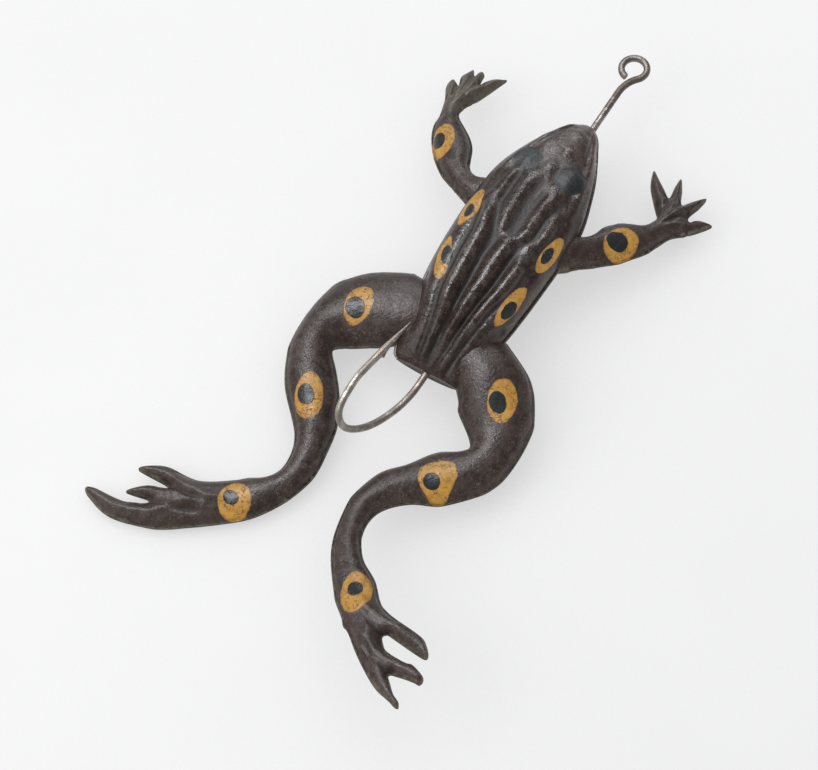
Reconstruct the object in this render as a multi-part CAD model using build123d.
from build123d import *
from collections import namedtuple
from math import copysign, cos, pi, radians, sin
import os

# Moulded soft rubber frog fishing lure on one ringed, long-shank, single barbed hook.
# Origin: centre of the line-tie ring. +Y forward (the ring end), +X the frog's right,
# +Z up (its back). The hook's straight shank is the Y axis. All sizes in millimetres.

UPPER, LOWER = 1, -1      # the two mouldings, by the sign of the side they lie on
SEAM = 0.02               # cement line between an upper and a lower moulding

# ---- hook: stations in the hook's own plane are (gap from the shank, y) ----
WIRE_R = 0.575
RING_R = 2.05             # centreline
RING_HOLE_R = 1.55        # reamed inside of the ring
RING_CUTTER_LEN = 4
RING_CUT_DEG = 257.0      # where the ring's wire is cut off
RING_LEAVE_DEG = -45.0    # where the ring runs down into the neck
NECK_MIDDLE = (0.28, -3.45, 0)
SHANK_START = (0, -5.2, 0)
SHANK_END = (0, -67.4, 0)
HOOK_ROLL = radians(25.0)  # the bend leans to the frog's left of straight up
BEND = [
    (0.75, -72.4), (2.35, -76.4), (4.4, -79.75), (6.9, -82.3),
    (9.4, -83.45), (11.4, -82.9), (12.4, -80.9), (12.65, -78.0),
]
SPEAR_START = (12.3, -74.6)
SPEAR_TIP = (9.75, -63.0)
POINT_LEN = 6.6           # tapered end of the spear
POINT_TIP_R = 0.06
BARB_SETBACK = 4.6        # from the spear's tip back to the barb's origin
BARB_OUTLINE = [(0.6, 0.0), (-1.9, 0.0), (-3.1, 1.05), (-2.2, 0.62)]  # (to tip, to shank)
BARB_HALF_THICK = 0.26

# ---- torso, front to back: y, half width, z of the parting rim, top, underside ----
TORSO = [
    (-14.6, 0.95, 1.5, 2.5, -1.5), (-16.0, 2.5, 1.7, 3.9, -2.7),
    (-18.0, 3.8, 2.1, 5.1, -4.1), (-20.5, 5.1, 2.5, 6.1, -5.4),
    (-23.0, 6.3, 2.9, 6.7, -6.4), (-26.5, 7.6, 3.0, 7.5, -7.1),
    (-32.0, 9.0, 3.0, 8.4, -7.4), (-38.0, 9.3, 3.0, 8.8, -7.5),
    (-44.0, 9.2, 2.9, 8.7, -7.5), (-50.0, 8.8, 2.3, 8.1, -7.4),
    (-54.0, 8.3, 1.6, 7.2, -7.0), (-58.0, 7.6, 0.9, 5.7, -6.1),
    (-62.0, 6.9, 0.3, 3.6, -4.6), (-64.2, 6.3, 0.1, 2.3, -3.1),
    (-65.5, 5.3, 0.0, 1.3, -1.8),
]
# Exponents on cosine (x) and sine (z) that square up the elliptical section
TORSO_POWERS = {UPPER: (0.80, 0.78), LOWER: (0.78, 0.72)}
SECTION_STEPS = 12
EYES = [(-4.15, -26.9, 5.45, 2.1), (3.65, -27.2, 5.7, 2.25)]  # x, y, z, radius
BELLY_FLAT_Z = -7.0       # the belly is flat where it rests
BELLY_CUTTER = (60, 80, 10)
TORSO_CUTTER_Y = -40      # middle of the bore and of the belly cutter
BORE_R = WIRE_R + 0.05    # running clearance on the shank
BORE_LEN = 70

# ---- limbs, root to tip: x, y of one edge, x, y of the other edge,
# z of the parting line, half thickness ----
LENS_MAX = 0.97           # greatest half thickness, as a share of the half width
ARM_L = [
    (-9.6, -37.0, -9.5, -31.6, 2.6, 2.5), (-11.8, -36.2, -11.4, -31.6, 2.2, 2.5),
    (-14.1, -35.0, -12.7, -30.5, 1.7, 2.6), (-16.5, -33.4, -13.7, -28.7, 1.1, 2.7),
    (-18.6, -31.6, -14.6, -26.8, 0.5, 2.7), (-20.4, -29.5, -15.8, -25.1, 0.0, 2.6),
    (-21.9, -26.8, -17.5, -23.6, -0.6, 2.4), (-22.7, -24.5, -19.1, -22.4, -1.0, 2.1),
    (-23.2, -21.8, -20.5, -20.9, -1.4, 1.8), (-23.8, -20.2, -20.0, -18.8, -1.6, 1.5),
    (-23.6, -18.0, -20.2, -17.1, -1.8, 1.2),
]
FINGERS_L = [
    [(-23.6, -20.2, -22.4, -19.0, -1.7, 1.1), (-24.6, -18.0, -23.2, -16.7, -1.8, 1.0),
     (-24.9, -16.7, -23.8, -16.0, -1.8, 0.8), (-24.7, -15.8, -24.4, -15.7, -1.8, 0.4)],
    [(-22.7, -19.0, -21.1, -17.6, -1.7, 1.2), (-23.3, -16.0, -21.6, -15.2, -1.9, 1.0),
     (-23.7, -14.3, -22.1, -13.6, -2.0, 0.8), (-22.9, -12.4, -22.6, -12.4, -2.0, 0.3)],
    [(-21.8, -18.4, -19.8, -17.9, -1.7, 1.2), (-21.5, -14.9, -20.2, -14.5, -1.9, 1.0),
     (-21.6, -13.3, -20.6, -13.0, -2.0, 0.8), (-21.4, -12.0, -21.1, -12.0, -2.0, 0.3)],
    [(-22.2, -17.1, -20.2, -19.5, -1.7, 1.2), (-20.6, -15.2, -18.9, -16.2, -1.8, 1.0),
     (-19.5, -13.6, -18.3, -14.6, -1.9, 0.8), (-18.8, -12.1, -17.8, -13.1, -2.0, 0.6),
     (-17.3, -11.2, -17.1, -11.4, -2.1, 0.25)],
]
ARM_R = [
    (9.0, -40.4, 8.7, -33.4, 2.6, 2.6), (10.4, -39.4, 9.6, -32.6, 2.2, 2.6),
    (11.7, -37.7, 10.3, -31.1, 1.6, 2.7), (13.2, -36.2, 10.8, -29.2, 1.0, 2.8),
    (14.7, -34.4, 11.6, -27.6, 0.3, 2.8), (16.3, -32.3, 12.7, -26.2, -0.4, 2.7),
    (17.6, -30.1, 14.0, -25.1, -1.0, 2.5), (18.6, -28.0, 15.2, -24.3, -1.5, 2.2),
    (19.3, -26.0, 16.0, -22.8, -2.0, 1.9), (20.2, -23.9, 16.0, -21.0, -2.4, 1.6),
    (20.0, -21.5, 17.2, -19.4, -2.6, 1.3),
]
FINGERS_R = [
    [(16.9, -22.3, 17.6, -19.3, -2.3, 1.3), (15.5, -20.5, 16.4, -17.4, -2.6, 1.1),
     (14.2, -19.0, 15.0, -16.2, -2.8, 1.0), (12.6, -16.8, 13.4, -15.0, -3.0, 0.8),
     (11.4, -13.8, 11.6, -13.6, -3.0, 0.25)],
    [(16.9, -19.9, 19.2, -19.0, -2.6, 1.3), (16.1, -17.4, 18.5, -17.0, -2.9, 1.0),
     (15.8, -15.0, 17.2, -14.6, -3.1, 0.8), (15.8, -12.8, 16.1, -12.7, -3.2, 0.25)],
    [(17.9, -17.9, 20.5, -19.9, -2.7, 1.2), (18.8, -16.8, 20.5, -18.3, -3.0, 1.0),
     (19.8, -15.5, 21.0, -16.3, -3.2, 0.8), (21.1, -13.8, 21.3, -14.0, -3.3, 0.25)],
    [(19.0, -20.2, 20.1, -23.5, -2.6, 1.4), (20.9, -19.3, 21.7, -21.9, -2.8, 1.1),
     (22.4, -18.1, 23.4, -19.7, -3.1, 0.9), (24.3, -17.7, 24.5, -18.0, -3.3, 0.25)],
]
LEG_L = [
    (-9.0, -51.3, -6.4, -63.2, 0.4, 3.7), (-11.3, -51.3, -7.0, -64.1, 0.3, 3.9),
    (-13.4, -52.5, -7.6, -64.8, 0.2, 4.0), (-16.3, -54.1, -9.8, -65.6, -0.2, 4.3),
    (-19.3, -56.5, -12.4, -66.8, -0.7, 4.4), (-21.2, -59.4, -14.2, -67.5, -1.2, 4.3),
    (-22.0, -63.2, -15.2, -67.7, -1.7, 4.0), (-22.0, -67.3, -15.5, -67.9, -2.1, 3.7),
    (-21.6, -70.8, -15.5, -68.3, -2.5, 3.4), (-20.7, -73.4, -14.4, -69.4, -2.8, 3.2),
    (-18.8, -76.8, -11.7, -72.6, -3.1, 3.2), (-16.2, -79.8, -9.6, -75.9, -3.4, 3.1),
    (-14.0, -82.4, -8.1, -79.1, -3.7, 3.0), (-12.2, -85.0, -7.2, -82.9, -4.0, 2.7),
    (-11.8, -87.5, -6.8, -86.2, -4.2, 2.5), (-12.2, -89.8, -7.1, -89.3, -4.4, 2.3),
    (-13.4, -91.6, -7.8, -92.2, -4.6, 2.2), (-15.4, -93.0, -9.3, -95.1, -4.8, 2.2),
    (-18.0, -94.7, -11.6, -98.5, -4.9, 2.1), (-20.8, -96.4, -14.5, -101.2, -5.0, 1.9),
    (-23.5, -98.5, -18.0, -103.9, -5.2, 1.6), (-25.3, -100.5, -21.2, -106.1, -5.3, 1.4),
    (-26.5, -103.8, -23.6, -107.4, -5.5, 1.2), (-28.8, -105.0, -27.2, -108.4, -5.6, 1.1),
    (-31.7, -106.0, -30.6, -109.0, -5.6, 0.9), (-34.7, -106.2, -34.1, -108.2, -5.5, 0.7),
    (-36.3, -106.6, -36.1, -107.2, -5.3, 0.3),
]
TOES_L = [
    [(-22.2, -97.6, -22.7, -100.9, -5.1, 1.3), (-24.4, -97.3, -25.2, -100.5, -5.1, 1.1),
     (-26.9, -97.5, -27.6, -100.4, -5.0, 0.9), (-28.8, -98.2, -29.2, -100.4, -4.9, 0.7),
     (-30.9, -99.9, -30.8, -100.4, -4.7, 0.3)],
    [(-23.2, -99.4, -23.6, -103.4, -5.2, 1.3), (-25.8, -100.8, -25.9, -103.4, -5.2, 1.0),
     (-28.3, -101.9, -28.1, -103.9, -5.2, 0.8), (-30.6, -104.1, -30.5, -104.5, -5.0, 0.3)],
]
LEG_R = [
    (8.2, -54.3, 5.4, -65.2, 0.2, 3.7), (10.3, -55.6, 6.3, -66.4, 0.0, 4.1),
    (12.6, -56.9, 7.3, -67.8, -0.4, 4.3), (14.7, -58.3, 8.6, -69.2, -0.8, 4.3),
    (16.5, -60.2, 10.2, -70.9, -1.2, 4.1), (18.3, -63.1, 11.8, -72.0, -1.5, 3.8),
    (19.3, -66.1, 12.1, -72.3, -1.6, 3.5), (19.6, -69.5, 12.1, -72.6, -1.7, 3.3),
    (19.3, -73.3, 11.4, -73.2, -1.7, 3.2), (18.5, -76.7, 10.0, -74.1, -1.7, 3.1),
    (16.5, -80.0, 8.5, -75.5, -1.6, 3.1), (14.4, -82.4, 7.0, -77.1, -1.5, 3.0),
    (12.0, -84.2, 5.8, -79.1, -1.3, 2.8), (9.3, -85.7, 4.1, -81.3, -1.1, 2.6),
    (7.4, -87.6, 2.4, -83.8, -0.9, 2.5), (6.1, -89.8, 1.6, -87.4, -0.7, 2.3),
    (5.7, -92.2, 1.2, -90.6, -0.4, 2.2), (6.1, -94.2, 2.0, -94.1, 0.0, 2.1),
    (7.2, -96.5, 3.2, -97.9, 0.6, 2.1), (9.3, -98.9, 4.7, -101.2, 1.5, 2.1),
    (12.2, -101.1, 7.2, -104.9, 2.6, 2.1), (15.2, -103.8, 9.8, -107.7, 3.9, 2.0),
    (17.7, -106.4, 12.5, -110.3, 5.2, 1.8), (19.2, -109.7, 15.4, -112.8, 6.4, 1.6),
    (21.2, -112.6, 18.0, -114.9, 7.5, 1.4), (23.4, -115.3, 20.9, -117.0, 8.4, 1.2),
    (25.1, -117.2, 23.4, -118.5, 9.1, 1.0), (26.6, -118.6, 25.6, -119.5, 9.6, 0.7),
    (28.0, -119.7, 27.6, -120.2, 10.0, 0.3),
]
TOES_R = [
    [(15.1, -105.4, 15.4, -109.0, 4.3, 1.6), (17.9, -105.9, 18.1, -109.3, 5.4, 1.4),
     (20.5, -106.4, 20.8, -109.5, 6.4, 1.2), (23.0, -107.2, 23.5, -110.0, 7.3, 1.1),
     (25.3, -107.9, 25.5, -110.4, 8.1, 1.0), (27.0, -109.6, 27.1, -110.8, 8.8, 0.8)],
    [(18.6, -111.2, 19.8, -115.0, 6.8, 1.4), (21.3, -112.1, 22.6, -115.2, 7.6, 1.2),
     (23.4, -112.4, 24.9, -115.3, 8.2, 1.1), (25.6, -112.6, 26.5, -115.2, 8.7, 1.0),
     (28.0, -113.3, 28.1, -115.0, 9.1, 0.8)],
]


def middle(row):
    """Centre of a limb station on its parting line."""
    x1, y1, x2, y2, z, _ = row
    return ((x1 + x2) / 2, (y1 + y2) / 2, z)


# ---- flex lines: centre, axis, direction of the limb beyond, knuckle radius, knuckle span
# along the axis, and the degrees by which each piece is trimmed back from square ----
Flex = namedtuple("Flex", "centre axis beyond radius span trim")
SHOULDER_L = Flex(middle(ARM_L[0]), (0, 1, 0), (-1, 0, 0), 2.3, (-2.6, 2.6), 11)
SHOULDER_R = Flex(middle(ARM_R[0]), (0, -1, 0), (1, 0, 0), 2.3, (-3.3, 3.3), 11)
HIP_L = Flex((-7.9, -57.2, 0.4), (-0.2134, 0.9770, 0), (-0.9770, -0.2134, 0),
             3.2, (-3.0, 5.7), 9)
HIP_R = Flex((6.8, -59.8, 0.2), (-0.2488, -0.9686, 0), (0.9686, -0.2488, 0),
             3.2, (-5.3, 2.6), 9)
KNEE_L = Flex((-18.6, -68.2, -2.2), (0, 0, -1), (0, -1, 0), 3.35, (-8, 8), 13)
KNEE_R = Flex((15.85, -72.3, -1.7), (0, 0, 1), (0, -1, 0), 3.7, (-8, 8), 13)
ANKLE_L = Flex(middle(LEG_L[15]), (-0.9952, -0.0978, 0), (0.0978, -0.9952, 0),
               2.2, (-6, 6), 13)
ANKLE_R = Flex(middle(LEG_R[17]), (-1, 0, 0), (0, -0.9578, 0.2873), 2.0, (-6, 6), 13)
KNUCKLE_GAP = 0.06        # on radius
KNUCKLE_END_GAP = 0.1     # at each end
SOCKET_REACH = 9          # size of the wedges cut from the torso
SHOULDER_HALF_WIDTH = 5
HIP_HALF_WIDTH = 9
ARM_ROOT_DEPTH = 3.4      # how far a limb's loft starts inside its first station
LEG_ROOT_DEPTH = 4.4


def largest(shape):
    """The largest solid of a cut shape, so that each piece is one clean solid."""
    return max(shape.solids(), key=lambda solid: solid.volume)


def ruled_solid(sections):
    return Solid(loft(sections, ruled=True).wrapped)


# ---- hook ----
def in_hook(gap, y):
    """A point or direction in the hook's rolled plane."""
    return Vector(-sin(HOOK_ROLL) * gap, y, cos(HOOK_ROLL) * gap)


def ring_point(degrees):
    return Vector(RING_R * cos(radians(degrees)), RING_R * sin(radians(degrees)), 0)


def wire_along(edge):
    return sweep(Plane(origin=edge @ 0, z_dir=edge % 0) * Circle(WIRE_R), path=edge)


def build_hook():
    leave = radians(RING_LEAVE_DEG)
    back = Vector(0, -1, 0)
    shank_start, shank_end = Vector(*SHANK_START), Vector(*SHANK_END)
    spear_start, spear_tip = in_hook(*SPEAR_START), in_hook(*SPEAR_TIP)
    spear_dir = (spear_tip - spear_start).normalized()
    point_base = spear_tip - spear_dir * POINT_LEN

    ring_end = ring_point(RING_LEAVE_DEG)
    ring_middle = ring_point((RING_CUT_DEG + RING_LEAVE_DEG) / 2)
    ring = wire_along(ThreePointArc(ring_point(RING_CUT_DEG), ring_middle, ring_end))
    ring = ring - Cylinder(RING_HOLE_R, RING_CUTTER_LEN)
    neck = Spline(ring_end, Vector(*NECK_MIDDLE), shank_start,
                  tangents=[Vector(sin(leave), -cos(leave), 0), back])
    shank = Line(shank_start, shank_end)
    bend = Spline(shank_end, *[in_hook(*station) for station in BEND], spear_start,
                  tangents=[back, spear_dir])
    spear = Line(spear_start, point_base)
    hook = sum((wire_along(edge) for edge in (neck, shank, bend, spear)), ring)

    point = Cone(WIRE_R, POINT_TIP_R, POINT_LEN)
    hook = hook + Plane(origin=point_base, z_dir=spear_dir) * Pos(0, 0, POINT_LEN / 2) * point

    # A sliver on the side of the spear facing the shank, its tip towards the bend
    barb_plane = Plane(origin=spear_tip - spear_dir * BARB_SETBACK, x_dir=spear_dir,
                       z_dir=in_hook(1, 0).cross(in_hook(0, 1)))
    outline = make_face(Polyline(*BARB_OUTLINE, close=True))
    return largest(hook + barb_plane * extrude(outline, amount=BARB_HALF_THICK, both=True))


# ---- flex lines ----
def flex_region(flex, gap, end_gap, half_angle, reach, half_width):
    """A knuckle about a flex line plus a wedge of space around the limb beyond it."""
    low, high = flex.span[0] - end_gap, flex.span[1] + end_gap
    plane = Plane(origin=flex.centre, x_dir=flex.beyond, z_dir=flex.axis)
    knuckle = plane * Pos(0, 0, (low + high) / 2) * Cylinder(flex.radius + gap, high - low)
    x, y = reach * cos(radians(half_angle)), reach * sin(radians(half_angle))
    corner = reach * 1.2
    outline = Polyline((0, 0), (x, y), (corner, corner), (corner, -corner), (x, -y), close=True)
    return knuckle + plane * extrude(make_face(outline), amount=half_width, both=True)


def beyond(flex):
    """The space kept by the piece beyond a flex line."""
    return flex_region(flex, 0, 0, 90 - flex.trim, 60, 40)


def clearance(flex, reach=60, half_width=40):
    """The space cut from the piece before a flex line."""
    return flex_region(flex, KNUCKLE_GAP, KNUCKLE_END_GAP, 90 + flex.trim, reach, half_width)


# ---- torso ----
def torso_section(row, side):
    y, half_width, rim_z, top, underside = row
    z0 = rim_z + side * SEAM / 2
    height = (top if side == UPPER else underside) - z0
    x_power, z_power = TORSO_POWERS[side]
    points = [Vector(half_width, y, z0)]
    for i in range(1, SECTION_STEPS):
        angle = pi * i / SECTION_STEPS
        x = half_width * copysign(abs(cos(angle)) ** x_power, cos(angle))
        points.append(Vector(x, y, z0 + height * sin(angle) ** z_power))
    points.append(Vector(-half_width, y, z0))
    return Face(Wire([Spline(*points), Line(points[-1], points[0])]))


def torso_half(side):
    half = ruled_solid([torso_section(row, side) for row in TORSO])
    if side == UPPER:
        for x, y, z, radius in EYES:
            half = half + Pos(x, y, z) * Sphere(radius)
    else:
        cutter_z = BELLY_FLAT_Z - BELLY_CUTTER[2] / 2
        half = half - Pos(0, TORSO_CUTTER_Y, cutter_z) * Box(*BELLY_CUTTER)
    for flex in (SHOULDER_L, SHOULDER_R):
        half = half - clearance(flex, SOCKET_REACH, SHOULDER_HALF_WIDTH)
    for flex in (HIP_L, HIP_R):
        half = half - clearance(flex, SOCKET_REACH, HIP_HALF_WIDTH)
    return largest(half - Pos(0, TORSO_CUTTER_Y, 0) * Rot(90, 0, 0) * Cylinder(BORE_R, BORE_LEN))


# ---- limbs ----
def lens(row, side):
    """Half of a lens-shaped section, standing on its parting line or hanging from it."""
    x1, y1, x2, y2, z, half_thick = row
    half_width = ((x1 - x2) ** 2 + (y1 - y2) ** 2) ** 0.5 / 2
    height = min(half_thick, LENS_MAX * half_width)
    z0 = z + side * SEAM / 2
    start, end = Vector(x1, y1, z0), Vector(x2, y2, z0)
    crest = Vector((x1 + x2) / 2, (y1 + y2) / 2, z0 + side * height)
    return Face(Wire([ThreePointArc(start, crest, end), Line(end, start)]))


def limb_halves(rows, digits, flex, depth):
    """Upper and lower mouldings of a limb, rooted inside the torso."""
    x1, y1, x2, y2, z, half_thick = rows[0]
    dx, dy = -flex.beyond[0] * depth, -flex.beyond[1] * depth
    rows = [(x1 + dx, y1 + dy, x2 + dx, y2 + dy, z, half_thick)] + rows

    def moulding(side):
        limb, *rest = [ruled_solid([lens(r, side) for r in part]) for part in [rows, *digits]]
        return sum(rest, limb)

    upper = moulding(UPPER)
    # Parting lines differ in height where digits overlap, so the upper one takes the overlap
    return {"upper": upper, "lower": moulding(LOWER) - upper}


def build_arm(side, rows, fingers, shoulder):
    halves = limb_halves(rows, fingers, shoulder, ARM_ROOT_DEPTH)
    return {f"{side}_arm_{name}": largest(half & beyond(shoulder))
            for name, half in halves.items()}


def build_leg(side, rows, toes, hip, knee, ankle):
    pieces = {}
    for name, half in limb_halves(rows, toes, hip, LEG_ROOT_DEPTH).items():
        below_knee = half & beyond(knee)
        pieces[f"{side}_thigh_{name}"] = largest((half & beyond(hip)) - clearance(knee))
        pieces[f"{side}_shank_{name}"] = largest(below_knee - clearance(ankle))
        pieces[f"{side}_foot_{name}"] = largest(below_knee & beyond(ankle))
    return pieces


parts = {
    "hook": build_hook(),
    "back_half": torso_half(UPPER),
    "belly_half": torso_half(LOWER),
    **build_arm("left", ARM_L, FINGERS_L, SHOULDER_L),
    **build_arm("right", ARM_R, FINGERS_R, SHOULDER_R),
    **build_leg("left", LEG_L, TOES_L, HIP_L, KNEE_L, ANKLE_L),
    **build_leg("right", LEG_R, TOES_R, HIP_R, KNEE_R, ANKLE_R),
}

os.makedirs("parts", exist_ok=True)
for name, shape in parts.items():
    shape.label = name
    export_step(shape, f"parts/{name}.step")
